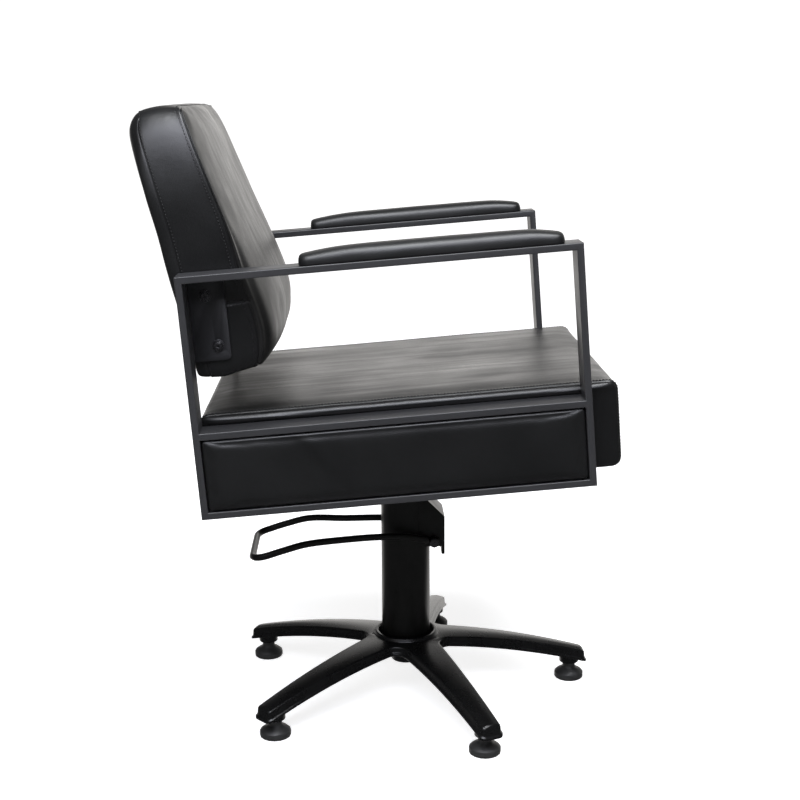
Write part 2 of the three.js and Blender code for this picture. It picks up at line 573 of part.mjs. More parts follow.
for (const [hand, side] of [["right", -1], ["left", 1]]) {
  const outerFace = FRAME_INNER - GAP;
  const innerFace = outerFace - BACK_BRACKET.thickness;
  const [y0, y1] = side < 0 ? [-outerFace, -innerFace] : [innerFace, outerFace];
  piece(seating, `backrest_bracket_${hand}`, extrudedAcross(backBracket(), y0, y1), POWDER_COAT);
  BACK_BOLTS.forEach(([u, w], i) => {
    // Turned about Z pointing outwards, then laid along Y.
    const { radius, headRadius, headHeight, headRim, socketRadius, washerRadius, washer, reach } = BACK_BOLT;
    const lay = (geometry) => geometry.rotateX((-side * Math.PI) / 2);
    const washerFace = outerFace + GAP;
    const headFace = washerFace + washer + GAP;
    const bolt = solid(turned([
      [0, headFace - reach], [radius, headFace - reach], [radius, headFace], [headRadius, headFace],
      [headRadius, headFace + headRim], [headRadius - 2, headFace + headHeight], [0, headFace + headHeight],
    ], 12));
    const socket = solid(disc(socketRadius, headFace + headRim, headFace + headHeight + 1, 6));
    const place = (mesh) => mesh.position.set(u, 0, w);
    place(piece(seating, `backrest_bolt_${hand}_${i + 1}`, lay(geometryOf(cut(bolt, socket))), BLACK_BOLT));
    place(piece(seating, `backrest_washer_${hand}_${i + 1}`,
      lay(ring(radius + 0.5, washerRadius, washerFace, washerFace + washer, 16)), BLACK_BOLT));
  });
}

export default chair;
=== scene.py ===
"""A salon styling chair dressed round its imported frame: sewn leather cushions, powder-coated side frames and
a black pump column on a five-legged base. Metres; the seat group lies along the seat's own tilted axes."""

import math

import bmesh
import bpy
import numpy as np
from mathutils import Matrix, Vector, noise


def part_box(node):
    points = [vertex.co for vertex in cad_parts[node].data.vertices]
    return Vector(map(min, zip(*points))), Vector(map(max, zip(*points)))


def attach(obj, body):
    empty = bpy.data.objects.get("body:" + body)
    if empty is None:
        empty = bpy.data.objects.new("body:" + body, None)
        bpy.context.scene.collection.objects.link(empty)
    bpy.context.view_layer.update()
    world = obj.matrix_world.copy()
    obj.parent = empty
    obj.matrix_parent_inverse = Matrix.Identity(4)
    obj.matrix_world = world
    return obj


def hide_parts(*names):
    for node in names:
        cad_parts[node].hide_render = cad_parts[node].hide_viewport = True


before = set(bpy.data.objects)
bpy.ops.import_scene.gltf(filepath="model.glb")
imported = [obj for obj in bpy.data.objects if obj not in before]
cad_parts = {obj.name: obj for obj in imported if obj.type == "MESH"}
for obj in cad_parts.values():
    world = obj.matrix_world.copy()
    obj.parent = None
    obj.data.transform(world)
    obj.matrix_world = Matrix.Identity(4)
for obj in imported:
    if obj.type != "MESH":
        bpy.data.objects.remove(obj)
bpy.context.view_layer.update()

MM = 0.001
CLOTH_FRAMES = 20
CLOTH = {
    "quality": 5, "mass": 0.3, "tension_stiffness": 15, "compression_stiffness": 15, "shear_stiffness": 5,
    "bending_stiffness": 0.5, "use_pressure": True, "uniform_pressure_force": 4.0,
}
SEAM_STEPS = (-6.0, -3.0, -1.4, 0.0, 1.4, 3.0, 6.0)  # grid lines round a seam, in mm
EDGE_STEPS = (0.0, 1.4, 3.0, 6.0, 11.0, 17.0)  # grid lines in from an edge, in mm
STITCH = {"pitch": 4.8, "length": 3.5, "radius": 0.68, "sides": 6}  # in mm
# Along a stitch: how far, of its length, then how wide and how high, of its radius.
STITCH_STATIONS = ((-0.5, 0.35, -0.5), (-0.32, 1.0, 0.25), (0.32, 1.0, 0.25), (0.5, 0.35, -0.5))
FRONT_CROWN = 0.115  # of the backrest's depth, from the middle of its front to the seams
BACK_NARROWING = 0.115  # of the backrest's width, from two thirds of its height to its top
CREASE = {"start": 143.0, "slope": 0.8, "depth": 1.2, "width": 5.0, "fade": 14.0}  # on the right panel, in mm
WELD_DISTANCE = 0.001 * MM
SMOOTH_STEPS = 12  # between two points of an outline
SEAT = None  # the seat's own axes, set below


# ---- the seat's own axes

def seat_axes():
    """The seat group's tilted axes, from the right side frame: u forward, v left, w up. The origin is in the
    chair's middle plane, under the frame's rear bottom corner."""
    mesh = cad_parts["side_frame_right"].data
    level = [p for p in mesh.polygons if p.normal.z > 0.9]
    up = max(level, key=lambda p: p.area).normal.copy()
    up.y = 0
    up.normalize()
    left = Vector((0, 1, 0))
    forward = left.cross(up)
    corner = forward * min(forward.dot(v.co) for v in mesh.vertices)
    corner += up * min(up.dot(v.co) for v in mesh.vertices)
    return Matrix.Translation(corner) @ Matrix((forward, left, up)).transposed().to_4x4()


def seat_box(node):
    """The lowest and highest corner of a CAD node along the seat's axes, in mm."""
    inverse = SEAT.inverted()
    places = np.array([inverse @ v.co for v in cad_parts[node].data.vertices]) / MM
    return places.min(0), places.max(0)


# ---- meshes

def full_turn(count):
    return [2 * math.pi * k / count for k in range(count)]


def with_values(thing, **values):
    """The thing itself, once these of its attributes are set."""
    for name, value in values.items():
        setattr(thing, name, value)
    return thing


def new_object(name, data):
    obj = bpy.data.objects.new(name, data)
    bpy.context.scene.collection.objects.link(obj)
    return obj


def new_piece(name, points, faces, material, matrix=None):
    """A smooth mesh object from points in mm along the seat's axes, or along those of another matrix."""
    mesh = bpy.data.meshes.new(name)
    mesh.from_pydata([tuple(p * MM for p in point) for point in points], [], faces)
    mesh.materials.append(material)
    mesh.shade_smooth()
    piece = new_object(name, mesh)
    piece.matrix_world = SEAT if matrix is None else matrix
    return piece


class Form:
    """Points and faces of one piece that is put together from stacks of rings."""

    def __init__(self):
        self.points = []
        self.faces = []

    def rings(self, rings, looped=False, capped=False):
        """Joins rings with as many points each: looped, the last to the first; capped, with closed ends."""
        first, count = len(self.points), len(rings[0])
        for ring in rings:
            self.points += [tuple(point) for point in ring]
        for r in range(len(rings) if looped else len(rings) - 1):
            a, b = first + r * count, first + (r + 1) % len(rings) * count
            for k in range(count):
                n = (k + 1) % count
                self.faces.append((a + k, a + n, b + n, b + k))
        if capped:
            self.faces.append(tuple(range(first, first + count)))
            self.faces.append(tuple(range(len(self.points) - count, len(self.points))))

    def sheet(self, rows):
        """Joins rows with as many points each into an open sheet."""
        first, count = len(self.points), len(rows[0])
        for row in rows:
            self.points += row
        for r in range(len(rows) - 1):
            for k in range(count - 1):
                a = first + r * count + k
                self.faces.append((a, a + 1, a + 1 + count, a + count))

    def turned(self, profile, segments, centre=(0.0, 0.0)):
        """Turns a closed profile of (radius, height) round an upright axis."""
        x, y = centre
        turns = full_turn(segments)
        rings = [[(x + r * math.cos(t), y + r * math.sin(t), z) for t in turns] for r, z in profile]
        self.rings(rings, looped=True)

    def piece(self, name, material, node, matrix, sharp):
        """The finished piece, its faces turned outward and creased past an angle, standing for a CAD node."""
        piece = new_piece(name, self.points, self.faces, material, matrix)
        build = bmesh.new()
        build.from_mesh(piece.data)
        bmesh.ops.remove_doubles(build, verts=build.verts, dist=WELD_DISTANCE)
        bmesh.ops.recalc_face_normals(build, faces=build.faces)
        build.to_mesh(piece.data)
        build.free()
        piece.data.set_sharp_from_angle(angle=math.radians(sharp))
        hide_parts(node)
        return piece


def places_of(piece):
    """A mesh object's points, in mm."""
    places = np.empty(len(piece.data.vertices) * 3, np.float32)
    piece.data.vertices.foreach_get("co", places)
    return places.reshape(-1, 3).astype(float) / MM


def move_to(piece, places):
    piece.data.vertices.foreach_set("co", (places * MM).astype(np.float32).ravel())
    piece.data.update()


def normals_of(piece):
    normals = np.empty(len(piece.data.vertices) * 3, np.float32)
    piece.data.vertex_normals.foreach_get("vector", normals)
    return normals.reshape(-1, 3).astype(float)


def evaluated(piece):
    return piece.evaluated_get(bpy.context.evaluated_depsgraph_get())


def subdivided(piece):
    """Applies one level of subdivision. The points that were there keep their numbers."""
    with_values(piece.modifiers.new("fine", "SUBSURF"), levels=1, render_levels=1)
    mesh = bpy.data.meshes.new_from_object(evaluated(piece))
    piece.modifiers.clear()
    piece.data = mesh
    mesh.shade_smooth()


def smoothstep(x, low=0.0, high=1.0):
    t = np.clip((x - low) / (high - low), 0.0, 1.0)
    return t * t * (3 - 2 * t)


def between(ends, part):
    """The value a part of the way from one end to the other."""
    return ends[0] + (ends[1] - ends[0]) * part


def grid_line(low, high, step, fine=(), edges=EDGE_STEPS):
    """Grid places from low to high, in mm: close at the ends and round the fine places, else a step apart."""
    marks = [low + e for e in edges] + [high - e for e in edges]
    marks += [place + s for place in fine for s in SEAM_STEPS]
    marks = sorted(m for m in marks if low <= m <= high)
    line = [marks[0]]
    for mark in marks[1:]:
        gap = mark - line[-1]
        if gap < 1.0 and mark != high:
            continue
        count = max(1, round(gap / step))
        line += [line[-1] + gap * (i + 1) / count for i in range(count)]
    return np.array(line)


class BoxGrid:
    """The outside of a box cut into a grid: its points, outward quads and rings."""

    def __init__(self, *lines):
        self.lines = lines
        self.counts = [len(line) for line in lines]
        self.index = {}
        self.places = []
        self.quads = []
        for axis in range(3):
            for end in (0, self.counts[axis] - 1):
                self._face(axis, end)
        self.points = np.array([[lines[axis][place[axis]] for axis in range(3)] for place in self.places])
        self.u, self.v, self.w = self.points.T

    def _at(self, place):
        if place not in self.index:
            self.index[place] = len(self.places)
            self.places.append(place)
        return self.index[place]

    def _face(self, axis, end):
        p, q = (axis + 1) % 3, (axis + 2) % 3
        for i in range(self.counts[p] - 1):
            for j in range(self.counts[q] - 1):
                quad = []
                for di, dj in ((0, 0), (1, 0), (1, 1), (0, 1)):
                    place = [0, 0, 0]
                    place[axis], place[p], place[q] = end, i + di, j + dj
                    quad.append(self._at(tuple(place)))
                self.quads.append(quad if end else quad[::-1])

    def nearest(self, axis, value):
        """The number of the grid line nearest to a value on an axis."""
        return int(np.argmin(np.abs(self.lines[axis] - value)))

    def depth(self, *axes):
        """How far in from the box's sides each point is, in mm, on the axes named."""
        low, high = self.points.min(0), self.points.max(0)
        points = self.points
        return np.min([np.minimum(points[:, a] - low[a], high[a] - points[:, a]) for a in axes], axis=0)

    def ring(self, axis, value):
        """The points round the box on the grid line nearest to a value on an axis, in order."""
        k = self.nearest(axis, value)
        p, q = (axis + 1) % 3, (axis + 2) % 3
        last_p, last_q = self.counts[p] - 1, self.counts[q] - 1
        walk = [(i, 0) for i in range(last_p)] + [(last_p, j) for j in range(last_q)]
        walk += [(i, last_q) for i in range(last_p, 0, -1)] + [(0, j) for j in range(last_q, 0, -1)]
        ring = []
        for i, j in walk:
            place = [0, 0, 0]
            place[axis], place[p], place[q] = k, i, j
            ring.append(self.index[tuple(place)])
        return ring


def rounded_prism(grid, through, corner, edge):
    """The grid's points with the box's edges along the through axis rounded by corner, and those of its end
    faces rounded by edge, both in mm: a number, or one for each point."""
    points = grid.points.copy()
    flat = [axis for axis in range(3) if axis != through]
    low, high = points.min(0), points.max(0)
    corner = np.broadcast_to(corner, len(points))[:, None]
    edge = np.broadcast_to(edge, len(points))
    outline = points[:, flat]
    depth = np.minimum(outline - low[flat], high[flat] - outline).min(1)
    inner = np.clip(outline, low[flat] + corner, high[flat] - corner)
    square = (outline - inner) / corner
    disc = square * np.sqrt(1 - square[:, ::-1] ** 2 / 2) * corner  # a square corner laid over a quarter disc
    length = np.linalg.norm(disc, axis=1)
    outward = disc / np.maximum(length, 1e-9)[:, None]
    rounded = inner + disc
    depth = np.where(np.abs(square).min(1) > 0, corner[:, 0] - length, depth)
    off_middle = points[:, through] - (low[through] + high[through]) / 2
    end_gap = (high[through] - low[through]) / 2 - np.abs(off_middle)
    x = np.maximum(0.0, edge - depth)
    y = np.maximum(0.0, edge - end_gap)
    both = (x > 0) & (y > 0)
    hypot = np.where(both, np.hypot(x, y), 1.0)
    shift_x = np.where(both, x / hypot * edge - x, 0.0)
    shift_y = np.where(both, y / hypot * edge - y, 0.0)
    points[:, flat] = rounded + outward * shift_x[:, None]
    points[:, through] += np.sign(off_middle) * shift_y
    return points


def inflate(piece, pinned, caps):
    """Swells a closed cushion as cloth under pressure. No point moves past its cap, in mm."""
    start = places_of(piece)
    held = piece.vertex_groups.new(name="held")
    held.add([int(i) for i in pinned], 1.0, "REPLACE")
    cloth = piece.modifiers.new("cloth", "CLOTH")
    settings = with_values(cloth.settings, vertex_group_mass=held.name, **CLOTH)
    settings.effector_weights.gravity = 0
    cloth.collision_settings.use_collision = False
    cloth.point_cache.frame_end = CLOTH_FRAMES
    scene = bpy.context.scene
    for number in range(1, CLOTH_FRAMES + 1):
        scene.frame_set(number)
    swollen = places_of(evaluated(piece))
    piece.modifiers.clear()
    piece.vertex_groups.clear()
    scene.frame_set(1)
    move = swollen - start
    outward = normals_of(piece)
    sinking = np.minimum((move * outward).sum(1), 0.0)
    move -= outward * sinking[:, None]
    length = np.maximum(np.linalg.norm(move, axis=1), 1e-9)
    move_to(piece, start + move * (caps * np.tanh(length / caps) / length)[:, None])


def seam_relief(distance, depth=2.3, lip=0.8):
    """How far a surface stands out at a distance from a seam, in mm: sunk on it, puffed beside it."""
    sunk = -depth * np.exp(-((distance / 1.3) ** 2))
    return sunk + lip * np.exp(-(((np.abs(distance) - 5.0) / 3.5) ** 2))


def wavy(places, size, height, seed):
    """A soft unevenness, in mm: noise of a feature size, one value for each place."""
    shift = Vector((seed * 7.3, seed * 3.1, seed * 5.7))
    return height * np.array([noise.noise(Vector(p) / size + shift) for p in places])


def stand_out(piece, height):
    """Moves each point along its normal by its own height in mm."""
    move_to(piece, places_of(piece) + normals_of(piece) * height[:, None])


# ---- stitches

def resampled(path, ups, pitch, closed):
    """Places, directions and ups at even steps of pitch along a path, all in mm."""
    if closed:
        path, ups = np.vstack([path, path[:1]]), np.vstack([ups, ups[:1]])
    travel = np.concatenate([[0.0], np.cumsum(np.linalg.norm(np.diff(path, axis=0), axis=1))])
    count = int(travel[-1] / pitch)
    stops = (np.arange(count) + 0.5) * travel[-1] / count
    at = lambda values, where: np.stack([np.interp(where, travel, values[:, k]) for k in range(3)], 1)
    ahead = at(path, np.minimum(stops + 1.0, travel[-1])) - at(path, np.maximum(stops - 1.0, 0.0))
    return at(path, stops), ahead, at(ups, stops)


def stitch_row(points, faces, path, ups, closed):
    """Adds to points and faces one stitch after another along a path on the leather."""
    pitch, length, radius = STITCH["pitch"], STITCH["length"], STITCH["radius"]
    sides, turns = STITCH["sides"], full_turn(STITCH["sides"])
    for place, ahead, up in zip(*resampled(path, ups, pitch, closed)):
        ahead = ahead / np.linalg.norm(ahead)
        across = np.cross(ahead, up)
        across /= np.linalg.norm(across)
        up = np.cross(across, ahead)
        first = len(points)
        for along, width, rise in STITCH_STATIONS:
            centre = place + ahead * along * length + up * rise * radius
            points += [centre + (across * math.cos(t) + up * math.sin(t)) * radius * width for t in turns]
        for row in range(len(STITCH_STATIONS) - 1):
            for k in range(sides):
                a, b = first + row * sides + k, first + row * sides + (k + 1) % sides
                faces.append((a, b, b + sides, a + sides))
        faces.append(tuple(first + k for k in reversed(range(sides))))
        faces.append(tuple(first + (len(STITCH_STATIONS) - 1) * sides + k for k in range(sides)))


def stitching(name, piece, rows):
    """Thread along rows of the piece's points: (points in order, closed)."""
    places, normals = places_of(piece), normals_of(piece)
    points, faces = [], []
    for row, closed in rows:
        stitch_row(points, faces, places[row], normals[row], closed)
    thread = new_piece(name, points, faces, THREAD)
    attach(thread, "lift")


# ---- materials

class Nodes:
    """A node tree and the few kinds of node that the materials and the world are made of."""

    def __init__(self, tree):
        self.tree = tree

    def fed(self, kind, output, inputs, **settings):
        """A new node's output, from its settings and its inputs: numbers, colours or other nodes' outputs."""
        node = with_values(self.tree.nodes.new(kind), **settings)
        for socket, value in inputs.items():
            if isinstance(value, bpy.types.NodeSocket):
                self.tree.links.new(value, node.inputs[socket])
            else:
                node.inputs[socket].default_value = value
        return node.outputs[output]

    def maths(self, operation, a, b):
        return self.fed("ShaderNodeMath", 0, {0: a, 1: b}, operation=operation)

    def ranged(self, value, low, high, to_low, to_high, **settings):
        limits = {"From Min": low, "From Max": high, "To Min": to_low, "To Max": to_high}
        return self.fed("ShaderNodeMapRange", "Result", {"Value": value, **limits}, **settings)

    def mixed(self, factor, a, b):
        """Between two numbers."""
        return self.fed("ShaderNodeMix", 0, {0: factor, 2: a, 3: b})

    def coloured(self, factor, a, b):
        """Between two colours."""
        a, b = ((*c, 1) if isinstance(c, tuple) else c for c in (a, b))
        return self.fed("ShaderNodeMix", 2, {0: factor, 6: a, 7: b}, data_type="RGBA")


class Looks(Nodes):
    """A material and the nodes that feed its shader. A scale is repeats per metre: one number, or three."""

    def __init__(self, name, colour, roughness, **constants):
        self.material = bpy.data.materials.new(name)
        self.material.use_nodes = True
        super().__init__(self.material.node_tree)
        self.shader = self.tree.nodes["Principled BSDF"]
        self.shader.inputs["Base Color"].default_value = (*colour, 1)
        self.shader.inputs["Roughness"].default_value = roughness
        for socket, value in constants.items():
            self.shader.inputs[socket].default_value = value
        self.place = self.tree.nodes.new("ShaderNodeTexCoord").outputs["Object"]
        self.normal = None

    def stretched(self, scale):
        scales = scale if isinstance(scale, tuple) else (scale, scale, scale)
        return self.fed("ShaderNodeMapping", "Vector", {"Vector": self.place, "Scale": scales})

    def noise(self, scale, detail=2.0, roughness=0.5, distortion=0.0):
        inputs = {"Scale": 1.0, "Detail": detail, "Roughness": roughness, "Distortion": distortion}
        return self.fed("ShaderNodeTexNoise", "Fac", {"Vector": self.stretched(scale), **inputs})

    def bump(self, height, depth, strength):
        """Adds a bump of a depth in metres on top of the bumps so far."""
        inputs = {"Strength": strength, "Distance": depth, "Height": height}
        if self.normal is not None:
            inputs["Normal"] = self.normal
        self.normal = self.fed("ShaderNodeBump", "Normal", inputs)
        self.feed("Normal", self.normal)

    def feed(self, socket, value):
        self.tree.links.new(value, self.shader.inputs[socket])

    def vary(self, value, roughness, colours, low=0.3, high=0.7):
        """Lets a value move the roughness between two numbers and the colour between two colours."""
        self.feed("Roughness", self.ranged(value, low, high, *roughness))
        self.feed("Base Color", self.coloured(value, *colours))


def leather(name, streaks=None, roughness=0.36):
    """Black upholstery leather: fine grain, soft unevenness, and on facing panels streaks along an axis."""
    looks = Looks(name, (0.006, 0.006, 0.0063), roughness, IOR=1.5)
    cells = {"Vector": looks.stretched(560), "Scale": 1.0}
    grain = looks.fed("ShaderNodeTexVoronoi", "Distance", cells, feature="DISTANCE_TO_EDGE")
    pores, slack = looks.noise(2600, detail=1.0), looks.noise(38, detail=3.0)
    looks.bump(slack, 0.9 * MM, 0.35)
    looks.bump(looks.ranged(grain, 0.0, 0.35, 0.0, 1.0), 0.1 * MM, 0.6)
    looks.bump(pores, 0.03 * MM, 0.5)
    shade = looks.noise(9)
    rough = looks.ranged(shade, 0.3, 0.7, roughness - 0.04, roughness + 0.05)
    tone = looks.coloured(shade, (0.0038, 0.0039, 0.004), (0.0065, 0.0066, 0.0067))
    if streaks:
        drawn = looks.noise(streaks, detail=5.0, roughness=0.62, distortion=0.4)
        rough = looks.maths("ADD", rough, looks.ranged(drawn, 0.32, 0.68, -0.07, 0.07))
        darker, lighter = (0.005, 0.005, 0.0048), (0.0105, 0.0102, 0.0096)
        tone = looks.coloured(looks.ranged(drawn, 0.35, 0.65, 0.0, 1.0), darker, lighter)
    looks.feed("Roughness", rough)
    looks.feed("Base Color", tone)
    return looks.material


def powder_coat():
    """Charcoal powder coat with its fine orange-peel texture."""
    looks = Looks("charcoal_powder_coat", (0.021, 0.021, 0.0225), 0.38, IOR=1.5)
    looks.bump(looks.noise(1300), 0.05 * MM, 0.5)
    cloud = looks.noise(14, detail=3.0)
    looks.vary(cloud, (0.37, 0.47), ((0.019, 0.019, 0.0205), (0.023, 0.023, 0.0245)))
    return looks.material


def painted(name, colour, roughness, peel_depth):
    """Black paint over a casting, tube or pressed plate, with a little dust dulling it in patches."""
    looks = Looks(name, colour, roughness, IOR=1.42)
    looks.bump(looks.noise(260, detail=1.0), peel_depth, 0.5)
    dust = looks.noise(22, detail=4.0, roughness=0.6)
    looks.feed("Roughness", looks.ranged(dust, 0.35, 0.7, roughness - 0.02, roughness + 0.03))
    dusty = tuple(c * 1.3 for c in colour)
    looks.feed("Base Color", looks.coloured(looks.ranged(dust, 0.45, 0.75, 0.0, 1.0), colour, dusty))
    return looks.material


def moulded_plastic():
    """Black moulded plastic with a fine spark-eroded texture."""
    looks = Looks("moulded_black_plastic", (0.018, 0.018, 0.018), 0.5, IOR=1.46)
    looks.bump(looks.noise(1800, detail=1.0), 0.04 * MM, 0.6)
    scuff = looks.noise((60, 60, 200), detail=3.0)
    looks.vary(scuff, (0.42, 0.6), ((0.014, 0.014, 0.014), (0.028, 0.028, 0.027)))
    return looks.material


def oxide_steel():
    """Black-oxide hardware."""
    looks = Looks("black_oxide_steel", (0.03, 0.03, 0.032), 0.3, Metallic=0.85)
    marks = looks.noise(900)
    looks.bump(marks, 0.015 * MM, 0.5)
    looks.vary(marks, (0.24, 0.36), ((0.05, 0.05, 0.053), (0.09, 0.09, 0.094)))
    return looks.material


def ground_steel():
    """Bright ground steel with fine marks round its axis."""
    looks = Looks("ground_steel", (0.62, 0.62, 0.63), 0.22, Metallic=1.0)
    marks = looks.noise((60, 60, 4000))
    looks.bump(marks, 0.01 * MM, 0.5)
    looks.vary(marks, (0.17, 0.28), ((0.58, 0.58, 0.59), (0.66, 0.66, 0.67)))
    return looks.material


def plywood():
    """Birch plywood, its grain along X."""
    looks = Looks("birch_plywood", (0.48, 0.34, 0.2), 0.6, IOR=1.45)
    grain = looks.noise((6, 90, 320), detail=4.0, distortion=0.6)
    looks.bump(grain, 0.1 * MM, 0.4)
    looks.vary(grain, (0.5, 0.68), ((0.36, 0.24, 0.13), (0.6, 0.45, 0.29)))
    return looks.material


def thread():
    """Bonded black sewing thread with its twist."""
    looks = Looks("bonded_thread", (0.006, 0.006, 0.006), 0.6, IOR=1.4)
    twist = looks.noise(1500, detail=1.0)
    looks.bump(twist, 0.08 * MM, 0.8)
    looks.feed("Base Color", looks.coloured(twist, (0.004, 0.004, 0.004), (0.010, 0.010, 0.0105)))
    return looks.material


# ---- cushions

def bounded(points):
    """A smooth curve through points: a function from 0 to 1 of its length to places."""
    p = np.array(points, float)
    p = np.vstack([2 * p[0] - p[1], p, 2 * p[-1] - p[-2]])
    dense = []
    for i in range(1, len(p) - 2):
        for t in np.linspace(0, 1, SMOOTH_STEPS, endpoint=i == len(p) - 3):
            a, b, c, d = p[i - 1], p[i], p[i + 1], p[i + 2]
            cubic = (2 * a - 5 * b + 4 * c - d) * t ** 2 + (3 * b - 3 * c + d - a) * t ** 3
            dense.append(0.5 * (2 * b + (c - a) * t + cubic))
    dense = np.array(dense)
    travel = np.concatenate([[0.0], np.cumsum(np.linalg.norm(np.diff(dense, axis=0), axis=1))])
    travel /= travel[-1]
    return lambda s: np.stack([np.interp(s, travel, column) for column in dense.T], 1)


def coons(back, front, bottom, top):
    """The flat patch between four curves: a function of s, 0 at the back, and t, 0 at the bottom."""
    back, front, bottom, top = (bounded(c) for c in (back, front, bottom, top))
    ends = np.array([0.0, 1.0])
    (b0, b1), (f0, f1) = back(ends), front(ends)

    def patch(s, t):
        across, up = s[:, None], t[:, None]
        sides = (1 - across) * back(t) + across * front(t) + (1 - up) * bottom(s) + up * top(s)
        corners = (1 - across) * ((1 - up) * b0 + up * b1) + across * ((1 - up) * f0 + up * f1)
        return sides - corners

    return patch


# The backrest's outline, (forward, up) in mm: back, front, bottom and top. Its grid, a plain box of the depth
# and height below, is laid into it.
BACKREST_OUTLINE = (
    ((10, 196), (1, 250), (-13.5, 324.5), (-24, 396), (-32.5, 443), (-41, 488), (-50, 530), (-59.5, 572)),
    ((128, 211), (133.5, 246), (133.5, 269), (125.5, 305), (106, 366), (84.5, 425), (65, 483), (46, 543),
     (37, 571)),
    ((10, 196), (48, 193), (62, 198), (101, 204), (128, 211)),
    ((-59.5, 572), (-28, 578.5), (0, 581), (20, 577.5), (37, 571)),
)
BACK_LEVELS = (205.0, 581.0)  # of the foot and the top, midway between back and front
BACK_DEPTH, BACK_HEIGHT = 110.0, 380.0
FRONT_SEAM, BACK_SEAM = 0.83 * BACK_DEPTH, 0.16 * BACK_DEPTH
SEAM_SHIFT = (-0.07, 0.03)  # of the depth, at the foot and at the top
TOPSTITCH = 6.0  # from the front seam, in mm
# In mm: the corners at the foot and the top, the edge at the back and the front, and what the edge gains.
BACK_ROUNDING = {
    "back_corner": (7.0, 34.0), "front_corner": (26.0, 12.0), "edge": (10.0, 13.0),
    "at_top": 22.0, "at_foot": 12.0,
}
PANEL_TO_BAR_TOP = 10.6  # from a side panel's top to the top of the bar above it, in mm
NEAR = 0.1  # two places this close are the same, in mm


def cushion_piece(name, grid, places, material, node):
    piece = new_piece(name, places, grid.quads, material)
    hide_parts(node)
    return piece


def paint(piece, grid, material, chosen):
    """Gives another material to the quads chosen by their middle on the grid. Each is four faces in a row,
    once subdivided."""
    piece.data.materials.append(material)
    middles = grid.points[np.array(grid.quads)].mean(1)
    for face in piece.data.polygons:
        if chosen(middles[face.index // 4]):
            face.material_index = 1


def seat_cushion():
    """A top panel that wraps down over the front, sewn to a puffed gusset along both sides."""
    low, high = seat_box("seat_cushion")
    frame_front = seat_box("side_frame_right")[1][0]
    bar_top = seat_box("side_panel_right")[1][2] + PANEL_TO_BAR_TOP
    side_room, top_room = 1.6, 4.0  # kept inside the CAD solid's box for the swelling
    rear, front, foot = 5.0, 2.5, 1.0  # past it
    corner, edge, stitch_line = 14.0, 6.0, 5.0
    roll, puff, puff_end = bar_top + 6.5, 6.5, 25.0
    half, top = high[1] - side_room, high[2] - top_room
    grid = BoxGrid(
        grid_line(low[0] - rear, high[0] + front, 15),
        grid_line(-half, half, 15),
        grid_line(low[2] - foot, top, 12, fine=(roll,)),
    )
    places = rounded_prism(grid, 1, corner, edge)
    # The gusset rolls out over the frame's middle bar, and in front of the frame over its whole height.
    above = (places[:, 2] - roll) / (top - roll + 0.5)
    below = (roll - places[:, 2]) / (roll - bar_top + 1.0)
    bulge = np.where(above > 0, 1 - np.clip(above, 0, 1) ** 1.4, np.sqrt(np.clip(1 - below ** 2, 0, 1)))
    clear = smoothstep(places[:, 0], frame_front + 1, frame_front + 9)
    bulge = np.maximum(bulge, 0.6 * clear)
    on_side = np.abs(grid.v) > half - NEAR
    side = np.where(on_side, np.sign(grid.v), 0.0)
    places[:, 1] += side * puff * bulge * smoothstep(grid.depth(0), 0.0, puff_end)
    piece = cushion_piece("seat_cushion_leather", grid, places, LEATHER, "seat_cushion")
    on_top, under = grid.w > top - NEAR, grid.w < low[2]
    seam = [i for end in (-half, half) for i in grid.ring(1, end)]
    caps = np.where(on_top, 4.0, np.where(on_side, side_room - 0.3, 2.0))
    inflate(piece, [*seam, *np.flatnonzero(under)], caps)
    side_relief = seam_relief(grid.depth(0, 2), 1.4, 0.2)
    relief = np.where(on_side, side_relief, seam_relief(grid.depth(1), 1.8, 0.7))
    relief += wavy(places_of(piece), 55.0, 0.5, 1)
    relief = np.where(on_side & (places[:, 2] < bar_top) & (clear < 1), np.minimum(relief, 0.2), relief)
    stand_out(piece, np.where(under, 0.0, relief))
    subdivided(piece)
    paint(piece, grid, LEATHER_SEAT, lambda p: abs(p[1]) < half - 0.5 and p[2] > low[2] + 2)
    rows = []
    for line in (stitch_line - half, half - stitch_line):
        row = [i for i in grid.ring(1, line) if grid.points[i][2] > low[2] + 8]
        rows.append((in_one_run(row, grid), False))
    stitching("seat_stitching", piece, rows)
    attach(piece, "lift")


def in_one_run(row, grid):
    """A broken ring's points put in one run, from the place where the ring was broken."""
    jumps = [np.abs(grid.points[a] - grid.points[b]).sum() for a, b in zip(row, row[1:] + row[:1])]
    start = int(np.argmax(jumps)) + 1
    return row[start:] + row[:start]


